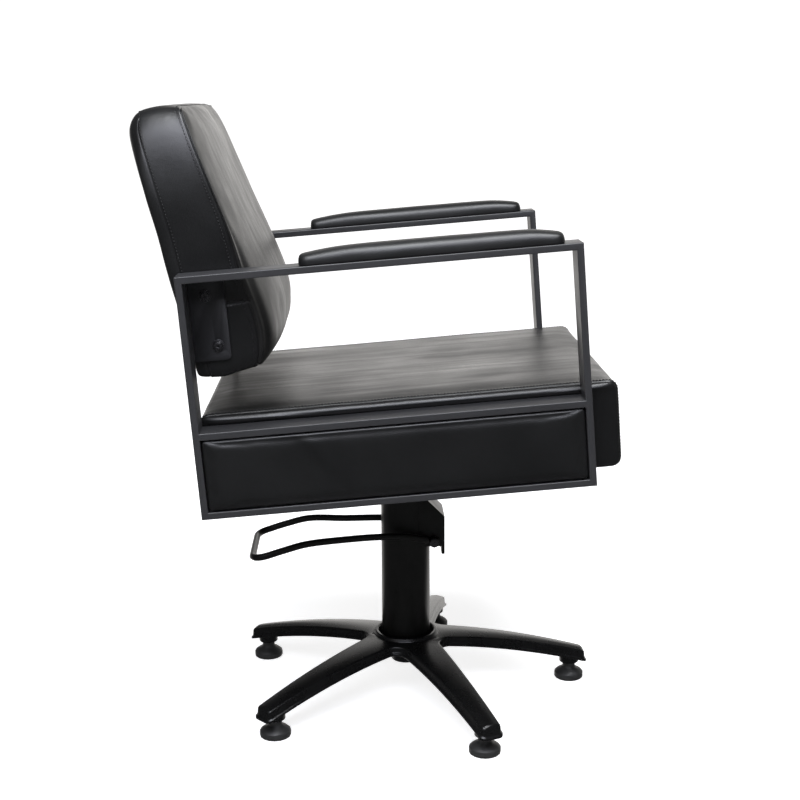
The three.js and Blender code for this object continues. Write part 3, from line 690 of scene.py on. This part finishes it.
def backrest_places(grid, half):
    """The grid rounded and laid into the outline. Its edges are rounder at the back's top and the front's
    foot; where a point sits once rounded decides how much."""
    share, rise = grid.u / BACK_DEPTH, grid.w / BACK_HEIGHT
    upper = smoothstep(rise, 0.2, 0.8)
    corners = [between(BACK_ROUNDING[end], upper) for end in ("back_corner", "front_corner")]
    corner = between(corners, smoothstep(share, 0.4, 0.65))
    rounded = rounded_prism(grid, 1, corner, BACK_ROUNDING["edge"][0])
    share, rise = rounded[:, 0] / BACK_DEPTH, rounded[:, 2] / BACK_HEIGHT
    edge = between(BACK_ROUNDING["edge"], smoothstep(share, 0.5, 1.0))
    edge += BACK_ROUNDING["at_top"] * smoothstep(rise, 0.75, 0.97) * (1 - smoothstep(share, 0.6, 0.9))
    edge += BACK_ROUNDING["at_foot"] * smoothstep(share, 0.6, 1.0) * (1 - smoothstep(rise, 0.35, 0.65))
    places = rounded_prism(grid, 1, corner, edge)
    share, rise = places[:, 0] / BACK_DEPTH, places[:, 2] / BACK_HEIGHT
    across, seam_share = np.abs(places[:, 1]) / half, FRONT_SEAM / BACK_DEPTH
    crown = FRONT_CROWN * across ** 4 * smoothstep(share, seam_share, 1.0)
    near_seam = np.minimum(share / seam_share, (1 - share) / (1 - seam_share))
    seam_shift = near_seam * between(SEAM_SHIFT, smoothstep(rise, 0.3, 0.62))
    places[:, [0, 2]] = coons(*BACKREST_OUTLINE)(share + seam_shift - crown, rise)
    places[:, 1] *= 1 - BACK_NARROWING * np.clip((rise - 0.66) / 0.34, 0, 1) ** 2
    return places


def backrest_caps(grid, on_side, clear):
    """How far each point may swell: less beside a seam, and next to nothing behind the bracket plates."""
    on_front = grid.u > BACK_DEPTH - 1
    from_seams = np.minimum(np.abs(grid.u - FRONT_SEAM), np.abs(grid.u - BACK_SEAM))
    from_seams = np.where(on_front, BACK_DEPTH - FRONT_SEAM + grid.depth(1, 2), from_seams)
    seam_part = 0.12 + 0.88 * smoothstep(from_seams, 0.0, 42.0)
    behind_plate, rim_cap, side_cap, front_cap = 0.15 + 4.5 * clear, 2.0, 4.6, 5.0
    side_caps = np.minimum(behind_plate, between((rim_cap, side_cap), smoothstep(grid.depth(2), 0.0, 40.0)))
    rim_caps = between((np.minimum(behind_plate, rim_cap), rim_cap), smoothstep(grid.depth(1), 0.0, 25.0))
    return seam_part * np.where(on_side, side_caps, np.where(on_front, front_cap, rim_caps))


def backrest_cushion():
    """A wedge: a crowned front panel that wraps round to a seam on each side, and a flatter back panel."""
    half = seat_box("backrest_cushion")[1][1]
    plate_front, _, plate_top = seat_box("backrest_bracket_right")[1]
    foot, top = BACK_LEVELS
    join = (plate_top - 38.0 - foot) / (top - foot) * BACK_HEIGHT
    grid = BoxGrid(
        grid_line(0.0, BACK_DEPTH, 11, fine=(FRONT_SEAM, BACK_SEAM)),
        grid_line(-half, half, 15),
        grid_line(0.0, BACK_HEIGHT, 12, fine=(join,)),
    )
    places = backrest_places(grid, half)
    piece = cushion_piece("backrest_leather", grid, places, LEATHER, "backrest_cushion")
    on_side = np.abs(grid.v) > half - 1
    above_plate = smoothstep(places[:, 2], plate_top + 5, plate_top + 60)
    clear = np.maximum(above_plate, 0.5 * smoothstep(places[:, 0], plate_front + 2, plate_front + 20))
    inflate(piece, grid.ring(0, FRONT_SEAM) + grid.ring(0, BACK_SEAM), backrest_caps(grid, on_side, clear))
    relief = seam_relief(grid.u - FRONT_SEAM) + seam_relief(grid.u - BACK_SEAM, 0.6, 0.1)
    relief += seam_relief(grid.u - FRONT_SEAM + TOPSTITCH, 0.9, 0.0)
    by_join = on_side & (places[:, 0] > plate_front - 4) & (grid.u < FRONT_SEAM + 2)
    relief += np.where(by_join, seam_relief(grid.w - join, 2.2, 0.2), 0.0)
    relief += wavy(places_of(piece), 60.0, 0.6, 2) * (0.25 + 0.75 * np.where(on_side, clear, 1.0))
    relief = np.where(on_side & (clear < 0.05), np.minimum(relief, 0.0), relief)
    stand_out(piece, relief)
    subdivided(piece)
    paint(piece, grid, LEATHER_BACK, lambda p: p[0] > FRONT_SEAM)
    rows = [(grid.ring(0, FRONT_SEAM - TOPSTITCH), True), (grid.ring(0, BACK_SEAM + 3), True)]
    for end in (0, grid.counts[1] - 1):
        for shift in (-3.0, 3.0):
            line = grid.nearest(2, join + shift)
            run = [grid.index[(i, end, line)] for i in range(1, grid.counts[0] - 1)]
            run = [i for i in run if places[i][0] > plate_front - 3 and grid.u[i] < FRONT_SEAM - 2]
            rows.append((run, False))
    stitching("backrest_stitching", piece, rows)
    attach(piece, "lift")


def side_panel(hand, side):
    """The padded panel that fills the lower window of a side frame, drawn tight over its board."""
    low, high = seat_box(f"side_panel_{hand}")
    near, far = (low, high) if side > 0 else (high, low)
    swell, corner, edges = 2.2, 6.0, (1.5, 6.3)
    inner, outer = near[1], far[1] + side * swell
    face = outer - side * swell
    grid = BoxGrid(
        grid_line(low[0], high[0], 8),
        grid_line(*sorted((inner, face)), 10, edges=(0.0, 2.0, 4.5, 8.0)),
        grid_line(low[2], high[2], 9),
    )
    outward = (grid.v - inner) / (outer - inner)
    places = rounded_prism(grid, 1, corner, between(edges, smoothstep(outward, 0.3, 0.7)))
    piece = cushion_piece(f"side_panel_leather_{hand}", grid, places, LEATHER, f"side_panel_{hand}")
    on_face = np.abs(grid.v - face) < 0.5
    held = np.flatnonzero(np.abs(grid.v - inner) < 0.5)
    inflate(piece, held, np.where(on_face, swell + 0.8, 0.2))
    now = places_of(piece)
    relief = wavy(now, 60.0, 0.4, 3 + side)
    if side < 0:
        relief += panel_crease(now, low[2], high[2])
    stand_out(piece, np.where(on_face, relief, 0.0))
    subdivided(piece)
    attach(piece, "lift")


def panel_crease(places, foot, top):
    """A slack fold that runs down and back across the panel, fading towards its foot and its top edge."""
    height, width = places[:, 2], CREASE["width"]
    from_crease = places[:, 0] - CREASE["start"] - CREASE["slope"] * (top - height)
    fade = smoothstep(height, foot + 5, foot + 60) * smoothstep(top - height, 2.0, CREASE["fade"])
    return CREASE["depth"] * fade * np.tanh(from_crease / width) * np.exp(-((from_crease / (5 * width)) ** 2))


def arm_pad(hand):
    """An arm pad: flat underneath, upright sides, a crowned top and ends that taper down."""
    low, high = seat_box(f"arm_pad_{hand}")
    middle = (low[1] + high[1]) / 2
    crown, crown_half, side_room, corner, edges = 5.6, 25.0, 0.8, 15.0, (1.0, 8.5)
    rear_end, front_end, end_height = 85.0, 60.0, 0.68
    grid = BoxGrid(
        grid_line(low[0] + 1.5, high[0] - 0.5, 12),
        grid_line(low[1] + side_room, high[1] - side_room, 6, edges=(0.0, 2.0, 5.0, 9.0)),
        grid_line(low[2], high[2] - crown, 4, edges=(0.0, 2.0, 4.5, 8.0)),
    )
    lift = (grid.w - low[2]) / (high[2] - crown - low[2])
    places = rounded_prism(grid, 2, corner, between(edges, smoothstep(lift, 0.2, 0.8)))
    rear_taper = np.clip((places[:, 0] - low[0]) / rear_end, 0, 1)
    front_taper = np.clip((high[0] - places[:, 0]) / front_end, 0, 1)
    taper = between((end_height, 1.0), np.sin(np.minimum(rear_taper, front_taper) * math.pi / 2))
    arch = 5.4 * (1 - ((places[:, 1] - middle) / crown_half) ** 2)
    places[:, 2] = low[2] + (places[:, 2] - low[2]) * taper + arch * smoothstep(lift, 0.3, 1.0) * taper
    piece = cushion_piece(f"arm_pad_leather_{hand}", grid, places, LEATHER_ARM, f"arm_pad_{hand}")
    above_foot = grid.w > low[2] + 1
    inflate(piece, np.flatnonzero(~above_foot), np.where(grid.w > high[2] - 8, 1.4, 0.5))
    stand_out(piece, np.where(above_foot, wavy(places_of(piece), 40.0, 0.35, 6), 0.0))
    subdivided(piece)
    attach(piece, "lift")


# ---- star base and foot lever

LEG = {
    "reach": 304.0, "top": (96.8, 46.2, 1.91), "foot": (82.8, 50.0, 1.76), "half": (37.4, 16.0, 11.0),
    "fillet": (89.0, 22.0), "blend": 14.0, "tip_round": 5.5, "crown": 2.0, "edge_drop": 3.6, "ceiling": 5.4,
}
SECTOR = math.pi / 5
LEG_START = (46.8, 48.6)  # the first rows of a leg, inside the hub's wall
LEG_STATIONS = (56.5, 59, 62, 65.5, 69, 74, 82, 92, 105, 122, 142, 164, 187, 210, 233, 256, 277, 288)
LEG_ACROSS = (-1.0, -0.75, -0.4, 0.0, 0.4, 0.75, 1.0)
# The wall's section: out from the outline, height above the top edge or above the foot.
LEG_WALL = (
    (-4.5, "top", 0.0), (-2.9, "top", -0.25), (-1.4, "top", -0.9), (-0.4, "top", -2.1), (0.0, "top", -3.6),
    (0.6, "foot", 6.5), (1.3, "foot", 4.6), (3.0, "foot", 3.9), (3.6, "foot", 3.2), (3.6, "foot", 0.5),
    (3.1, "foot", 0.0), (-0.4, "foot", 0.0), (-0.9, "foot", 0.5),
)
HUB_PROFILE = (
    (14, 61), (14, 86), (45, 86), (46, 87), (46, 101), (47, 102), (51, 102), (52, 101), (52.4, 98.6),
    (54, 96.6), (57, 95), (62, 92), (62, 84), (50, 82), (44, 76), (25, 70), (25, 51.5), (23.5, 50), (20, 50),
    (20, 61),
)
SOCKET_PROFILE = ((5.8, 28.3), (15.0, 28.3), (16.2, 29.5), (16.2, 46.0), (5.8, 46.0))
# The left half of the lever's line, from its eye back to the loop's end: (forward, left, up) in mm.
LEVER_SIDE = (
    (37.5, 39.5, 267.6), (31, 44, 270), (20, 50, 274.4), (-2, 53.5, 278.6), (-45, 54.5, 279.6),
    (-100, 60, 277.8), (-158, 72, 275.4), (-196, 75, 266.3), (-226, 75, 257), (-240, 70.5, 253.4),
    (-247, 60, 251.6), (-248.3, 48, 251),
)
LEVER_PIVOT = (45.5, 265.0)
LEVER_ROD = {"radius": 5.5, "sides": 16, "steps": 110, "flattened": 0.66}
LEVER_EYE = ((5.4, 35.6), (8.0, 35.6), (8.5, 36.1), (8.5, 42.0), (8.0, 42.5), (5.4, 42.5))


def pedestal_axis():
    """How far forward the column's axis stands."""
    low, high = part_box("column_tube")
    return (low.x + high.x) / 2


def leg_curve(curve, x):
    """The height of a leg's top or foot at a distance out."""
    hub, drop, power = curve
    return hub - drop * (x / LEG["reach"]) ** power


def leg_half(x):
    """Half a leg's width at a distance out: round the fillet between two legs, then out to the tip."""
    centre, radius = LEG["fillet"]
    reach, tip_round = LEG["reach"], LEG["tip_round"]
    fillet_x, fillet_y = centre * math.cos(SECTOR), centre * math.sin(SECTOR)
    if x < fillet_x:
        return fillet_y - math.sqrt(radius ** 2 - (x - fillet_x) ** 2)
    hub, tip, waist = LEG["half"]
    share, fillet_share = x / reach, fillet_x / reach
    half = hub + (tip - hub) * share - waist * share * (1 - share)
    start, full = fillet_y - radius, hub + (tip - hub) * fillet_share
    full -= waist * fillet_share * (1 - fillet_share)
    half += (start - full) * math.exp(-(x - fillet_x) / LEG["blend"])
    round_in = x - (reach - tip_round)
    if round_in > 0:
        half -= tip_round - math.sqrt(max(tip_round ** 2 - round_in ** 2, 0.0))
    return half


def leg_outline():
    """Half a leg's outline, from the valley beside it to the tip: (out, half width), and its normals."""
    tip = LEG["reach"] - LEG["tip_round"]
    arc = [tip + LEG["tip_round"] * math.sin(k * math.pi / 12) for k in range(7)]
    valley = (LEG["fillet"][0] - LEG["fillet"][1]) * math.cos(SECTOR)
    side = np.array([(x, leg_half(x)) for x in (valley, *LEG_STATIONS, *arc)])
    ahead = np.gradient(side, axis=0)
    ahead[0] = (math.sin(SECTOR), -math.cos(SECTOR))
    ahead[-1] = (0.0, -1.0)
    normals = np.stack([-ahead[:, 1], ahead[:, 0]], 1)
    return side, normals / np.linalg.norm(normals, axis=1)[:, None]


def turned_point(x, y, z, angle):
    return (x * math.cos(angle) - y * math.sin(angle), x * math.sin(angle) + y * math.cos(angle), z)


def leg_row(x, half, height, crown, angle):
    """The points across a leg at a distance out, so high above its top line and crowned in the middle."""
    z = leg_curve(LEG["top"], x) + height
    return [turned_point(x, a * half, z + crown * (1 - a * a), angle) for a in LEG_ACROSS]


def leg_surface(form, angle, inset, height, crown):
    """A leg's top or ceiling, from inside the hub's wall to the tip, its outline moved out by inset."""
    side, normals = leg_outline()
    rows = [(x, x * math.tan(SECTOR)) for x in LEG_START] + list(side + normals * inset)
    form.sheet([leg_row(x, half, height, crown, angle) for x, half in rows])


def leg_wall(form, angle):
    """The wall of one leg from its top edge down over the lip and up inside to the ceiling."""
    side, normals = leg_outline()
    loop = [(p, n, 0.0) for p, n in zip(side, normals)]
    tip, tip_half = side[-1]
    for a in LEG_ACROSS[1:-1]:
        loop.append((np.array((tip, -a * tip_half)), np.array((1.0, 0.0)), LEG["crown"] * (1 - a * a)))
    loop += [(p * (1, -1), n * (1, -1), 0.0) for p, n in zip(side[::-1], normals[::-1])]
    rows = []
    for out, level, height in (*LEG_WALL, (-LEG["ceiling"], "top", -LEG["ceiling"])):
        row = []
        for place, normal, rise in loop:
            x, y = place + normal * out
            z = leg_curve(LEG[level], x) + height
            if level == "top":
                z += rise * max(0.0, 1 + height / LEG["edge_drop"])
            row.append(turned_point(x, y, z, angle))
        rows.append(row)
    form.sheet(rows)


def star_base():
    """The casting: five hollow legs with a lip along the foot, a hub with a raised rim, and glide sockets."""
    axis = pedestal_axis()
    form = Form()
    crown, ceiling, start = LEG["crown"], LEG["ceiling"], LEG_START[0]
    for number in range(1, 6):
        low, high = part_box(f"glide_foot_{number}")
        x, y = ((low.x + high.x) / 2 - axis) / MM, (low.y + high.y) / 2 / MM
        angle = math.atan2(y, x)
        leg_surface(form, angle, LEG_WALL[0][0], 0.0, crown)
        leg_surface(form, angle, -ceiling, -ceiling, 0.0)
        leg_wall(form, angle)
        levels = ((0.0, crown), (-ceiling, 0.0))
        form.sheet([leg_row(start, start * math.tan(SECTOR), height, rise, angle) for height, rise in levels])
        form.turned(SOCKET_PROFILE, 32, centre=(x, y))
    form.turned(HUB_PROFILE, 96)
    base = form.piece("star_base_casting", CASTING, "star_base", Matrix.Translation((axis, 0, 0)), 50)
    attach(base, "base")


def swept(path, radius, sides, scale):
    """Rings round a path, kept from twisting."""
    rings = []
    ahead = np.gradient(path, axis=0)
    ahead /= np.linalg.norm(ahead, axis=1)[:, None]
    up = np.cross(ahead[0], (0.0, 1.0, 0.0))
    for place, forward, size in zip(path, ahead, scale):
        up = up - forward * np.dot(up, forward)
        up /= np.linalg.norm(up)
        across = np.cross(forward, up)
        turns = full_turn(sides)
        rings.append([place + (up * math.cos(t) + across * math.sin(t)) * radius * size for t in turns])
    return rings


def pump_lever():
    """The foot lever: one rod bent round the column, its ends forged to eyes on the shaft."""
    side = np.array(LEVER_SIDE, float)
    path = np.vstack([side * (1, -1, 1), side[::-1]])
    steps = np.linspace(0, 1, LEVER_ROD["steps"])
    places = bounded(path)(steps)
    scale = np.ones(len(steps))
    scale[[0, -1]] = LEVER_ROD["flattened"]
    form = Form()
    form.rings(swept(places, LEVER_ROD["radius"], LEVER_ROD["sides"], scale), capped=True)
    pivot_x, pivot_z = LEVER_PIVOT
    turns = full_turn(32)
    for hand in (-1, 1):
        rings = []
        for r, y in LEVER_EYE:
            rings.append([(pivot_x + r * math.cos(t), hand * y, pivot_z + r * math.sin(t)) for t in turns])
        form.rings(rings, looped=True)
    matrix = Matrix.Translation((pedestal_axis(), 0, 0))
    lever = form.piece("pump_lever_rod", COLUMN, "pump_lever", matrix, 45)
    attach(lever, "lever")


# ---- CAD nodes that stay

def dress(node, material):
    """Gives a CAD node its material, smooth shading and, by modifiers, softened edges."""
    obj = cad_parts[node]
    obj.data.materials.clear()
    obj.data.materials.append(material)
    obj.data.polygons.foreach_set("use_smooth", [True] * len(obj.data.polygons))
    with_values(obj.modifiers.new("weld", "WELD"), merge_threshold=0.01 * MM)
    flat = obj.modifiers.new("flat", "DECIMATE")
    with_values(flat, decimate_type="DISSOLVE", angle_limit=math.radians(0.6))
    soft = obj.modifiers.new("edges", "BEVEL")
    with_values(soft, width=0.5 * MM, segments=2, limit_method="ANGLE", angle_limit=math.radians(32.0))
    with_values(soft, harden_normals=True, use_clamp_overlap=True)


def dress_frame():
    """Each CAD node that stays gets the material of its kind, told by how its name starts."""
    kinds = (
        (COLUMN, "column_tube lever_bracket mounting_plate"), (COAT, "cross_rail side_frame"),
        (BRACKET, "backrest_bracket"), (PLASTIC, "gland_ring glide_foot"),
        (STEEL, "thrust_washer ram_post pressure_cylinder pump_plunger"),
        (OXIDE, "ram_nut pump_block arm_pad_screw backrest_bolt backrest_washer mounting_bolt glide_stem"),
        (OXIDE, "lever_shaft"),
        (PLY, "seat_board side_panel_board arm_pad_base backrest_board"),
    )
    finishes = {start: material for material, starts in kinds for start in starts.split()}
    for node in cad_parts:
        for start, material in finishes.items():
            if node.startswith(start):
                dress(node, material)


# ---- studio

ROOM_DARK = (0.055, 0.055, 0.058)
ROOM_LIT = (1.6, 1.565, 1.52)
ROOM_SEEN = (1.1, 1.1, 1.1)  # by the camera
FLOOR_REACH, FLOOR_SIDES = 14.0, 64
CAMERA_PLACE = (-0.0715, -2.2621, 0.9806)  # from the foot of the column's axis
CAMERA_TURN = {"yaw": 1.62, "pitch": 12.146, "roll": -0.392}  # in degrees
CAMERA_LENS = 64.3


def make_camera():
    """The camera: placed from the pedestal's axis, turned a little to the right and looking down."""
    yaw, pitch, roll = (math.radians(angle) for angle in CAMERA_TURN.values())
    ahead = Vector((math.sin(yaw), math.cos(yaw), 0))
    right = Vector((math.cos(yaw), -math.sin(yaw), 0))
    up = Vector((0, 0, 1))
    look = ahead * math.cos(pitch) - up * math.sin(pitch)
    top = ahead * math.sin(pitch) + up * math.cos(pitch)
    x_axis = right * math.cos(roll) + top * math.sin(roll)
    y_axis = top * math.cos(roll) - right * math.sin(roll)
    data = with_values(bpy.data.cameras.new("camera"), lens=CAMERA_LENS, sensor_width=36.0)
    camera = new_object("camera", data)
    place = Vector(CAMERA_PLACE) + Vector((pedestal_axis(), 0, 0))
    camera.matrix_world = Matrix.Translation(place) @ Matrix((x_axis, y_axis, -look)).transposed().to_4x4()
    bpy.context.scene.camera = camera


def softbox(name, place, target, size, power, colour):
    """A rectangular lamp at a place, turned to a target."""
    data = with_values(bpy.data.lights.new(name, "AREA"), shape="RECTANGLE", energy=power, color=colour)
    data.size, data.size_y = size
    lamp = with_values(new_object(name, data), location=place, rotation_mode="QUATERNION")
    lamp.rotation_quaternion = (Vector(target) - Vector(place)).to_track_quat("-Z", "Y")


def make_floor():
    """A wide round pale floor, a little brighter away from the chair."""
    looks = Looks("pale_floor", (0.9, 0.9, 0.9), 0.6)
    looks.shader.inputs["Emission Color"].default_value = (1, 1, 1, 1)
    away = looks.fed("ShaderNodeVectorMath", "Value", {0: looks.place}, operation="LENGTH")
    looks.feed("Emission Strength", looks.ranged(away, 0.5, 2.2, 0.78, 1.05))
    looks.feed("Roughness", looks.ranged(looks.noise(3), 0.3, 0.7, 0.55, 0.65))
    mesh = bpy.data.meshes.new("floor")
    rim = [(FLOOR_REACH * math.cos(t), FLOOR_REACH * math.sin(t), 0) for t in full_turn(FLOOR_SIDES)]
    mesh.from_pydata(rim, [], [tuple(range(FLOOR_SIDES))])
    mesh.materials.append(looks.material)
    floor = with_values(new_object("floor", mesh), visible_glossy=False)


def make_world():
    """A dark room with a warm lit backdrop on the far side, for reflections; the camera itself sees white."""
    world = bpy.data.worlds.new("studio")
    bpy.context.scene.world = world
    world.use_nodes = True
    nodes = Nodes(world.node_tree)
    direction = nodes.tree.nodes.new("ShaderNodeTexCoord").outputs["Generated"]
    split = nodes.fed("ShaderNodeSeparateXYZ", 0, {0: direction}).node.outputs

    def span(axis, low, high, to_low, to_high):
        return nodes.ranged(split[axis], low, high, to_low, to_high, interpolation_type="SMOOTHSTEP")

    def times(a, b):
        return nodes.maths("MULTIPLY", a, b)

    low = times(span("Z", -0.95, -0.3, 0.0, 1.0), span("X", -0.75, -0.4, 0.2, 0.85))
    low = times(low, times(span("X", -0.1, 0.1, 1.0, 0.66), span("X", 0.7, 0.95, 1.0, 0.1)))
    high = times(span("Z", 0.3, 0.72, 1.0, 0.06), span("X", -0.22, 0.0, 0.05, 1.0))
    high = times(high, nodes.mixed(span("Z", 0.26, 0.34, 0.0, 1.0), 1.0, span("X", 0.03, 0.16, 1.0, 0.22)))
    lit = times(span("Y", 0.3, 0.75, 0.0, 1.0), nodes.mixed(span("Z", 0.01, 0.11, 0.0, 1.0), low, high))
    by_camera = nodes.tree.nodes.new("ShaderNodeLightPath").outputs["Is Camera Ray"]
    colour = nodes.coloured(by_camera, nodes.coloured(lit, ROOM_DARK, ROOM_LIT), ROOM_SEEN)
    nodes.tree.links.new(colour, nodes.tree.nodes["Background"].inputs["Color"])


def make_studio():
    make_camera()
    make_floor()
    make_world()
    softbox("overhead", (0.2, -0.7, 2.7), (0, 0, 0.5), (1.8, 1.2), 90, (0.95, 0.97, 1.0))
    softbox("front_high", (-0.3, -2.2, 2.7), (-0.2, 0, 0.8), (2.2, 1.4), 76, (0.87, 0.89, 1.0))
    softbox("front_left", (-1.8, -2.0, 2.2), (-0.1, 0, 0.6), (1.2, 1.2), 6, (1.0, 1.0, 1.0))
    bpy.context.scene.view_settings.view_transform = "Standard"


# ---- the chair

SEAT = seat_axes()
LEATHER = leather("black_leather")
LEATHER_SEAT = leather("black_leather_streaked_along", streaks=(3.2, 48, 48))
LEATHER_BACK = leather("black_leather_streaked_up", streaks=(48, 48, 3.2))
LEATHER_ARM = leather("black_leather_arm_pads", roughness=0.42)
COAT = powder_coat()
CASTING = painted("gloss_black_casting", (0.004, 0.004, 0.004), 0.27, 0.02 * MM)
COLUMN = painted("satin_black_paint", (0.004, 0.004, 0.0037), 0.33, 0.02 * MM)
BRACKET = painted("satin_black_plate", (0.008, 0.008, 0.009), 0.45, 0.01 * MM)
PLASTIC = moulded_plastic()
OXIDE = oxide_steel()
STEEL = ground_steel()
PLY = plywood()
THREAD = thread()

make_studio()
seat_cushion()
backrest_cushion()
for hand, side in (("right", -1), ("left", 1)):
    side_panel(hand, side)
    arm_pad(hand)
star_base()
pump_lever()
dress_frame()
